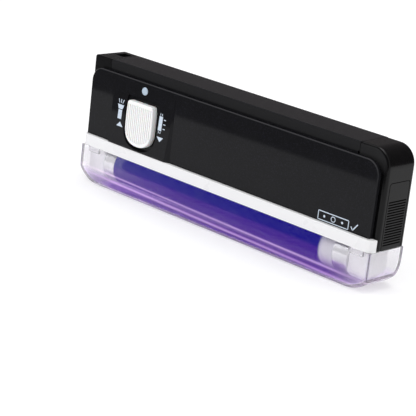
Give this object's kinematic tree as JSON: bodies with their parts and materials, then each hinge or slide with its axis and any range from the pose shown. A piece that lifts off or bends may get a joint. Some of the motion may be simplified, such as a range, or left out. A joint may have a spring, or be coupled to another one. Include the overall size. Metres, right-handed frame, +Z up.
{
  "type": "counterfeit bill detector",
  "caption": "Handheld battery ultraviolet detector for banknotes: lamp tube under a clear cover, slide switch, end torch, strap bar and lift-off battery end cap.",
  "frame": {"origin": "middle of the underside's footprint, at the height of the surface that the detector stands on", "axes": "+X along the length towards the battery end cap, +Y to the back, -Y the side with the switch, +Z up"},
  "size_m": [0.16, 0.0208, 0.055],
  "materials": {
    "black_plastic": "moulded, satin",
    "panel_plastic": "fine speckled spark-eroded texture",
    "white_plastic": "moulded, glossy",
    "knob_plastic": "moulded, ribbed",
    "board_plastic": "moulded",
    "reflector_foil": "bright sheet",
    "clear_plastic": "clear, polished",
    "cell_can": "plain printed sleeve on a metal can",
    "spring_steel": "nickel plated wire",
    "contact_nickel": "nickel plated strip",
    "contact_brass": "bright",
    "lamp_glass": "dark violet filter glass",
    "lamp_cap": "bright, drawn",
    "switch_steel": "tinned can",
    "indicator_clear": "translucent",
    "board_green": "solder mask",
    "ferrite": "sintered",
    "coil_copper": "enamelled wire",
    "black_epoxy": "moulded epoxy",
    "capacitor_sleeve": "shrink sleeve",
    "film_coat": "dipped",
    "resistor_coat": "lacquered",
    "torch_clear": "polished",
    "torch_mirror": "vapour coated",
    "led_clear": "clear epoxy",
    "screw_steel": "zinc plated",
    "lead_white": "insulation",
    "lead_red": "insulation"
  },
  "bodies": {
    "housing": {"rear_housing": "black_plastic", "front_cover": "panel_plastic", "reflector_frame": "white_plastic", "reflector_sheet": "reflector_foil", "battery_lower_left": "cell_can", "battery_lower_right": "cell_can", "battery_upper_left": "cell_can", "battery_upper_right": "cell_can", "battery_spring": "spring_steel", "spring_plate": "contact_nickel", "contact_leaf": "contact_nickel", "lamp_holder_left": "white_plastic", "lamp_holder_right": "white_plastic", "holder_contacts": "contact_brass", "switch_body": "switch_steel", "indicator_lens": "indicator_clear", "circuit_board": "board_green", "transformer_core": "ferrite", "transformer_coil": "coil_copper", "transistor": "black_epoxy", "electrolytic_capacitor": "capacitor_sleeve", "film_capacitor": "film_coat", "resistors": "resistor_coat", "torch_bezel": "black_plastic", "torch_lens": "torch_clear", "torch_reflector": "torch_mirror", "torch_led": "led_clear", "housing_screws": "screw_steel", "lamp_leads": "lead_white", "torch_leads": "lead_red", "battery_leads": "lead_red"},
    "knob": {"switch_knob": "knob_plastic", "switch_slider": "board_plastic"},
    "end_cap": {"battery_door": "black_plastic", "door_contact": "contact_nickel"},
    "lamp_cover": {"lens_cover": "clear_plastic"},
    "lamp": {"uv_tube": "lamp_glass", "tube_cap_left": "lamp_cap", "tube_cap_right": "lamp_cap", "tube_pins": "contact_brass", "tube_cathodes": "spring_steel"}
  },
  "joints": [
    {"name": "switch_slide", "type": "slide", "parent": "housing", "child": "knob", "axis": [0, 0, 1], "range_m": [-0.0012, 0.0012]},
    {"name": "end_cap_slide", "type": "slide", "parent": "housing", "child": "end_cap", "axis": [0, 0, 1], "range_m": [0, 0.04]},
    {"name": "lamp_cover_pull", "type": "slide", "parent": "housing", "child": "lamp_cover", "axis": [0, 0, -1], "range_m": [0, 0.021]},
    {"name": "lamp_twist", "type": "hinge", "parent": "housing", "child": "lamp", "pos_m": [0, 0, 0.0099], "axis": [1, 0, 0], "range_deg": [0, 90]}
  ]
}
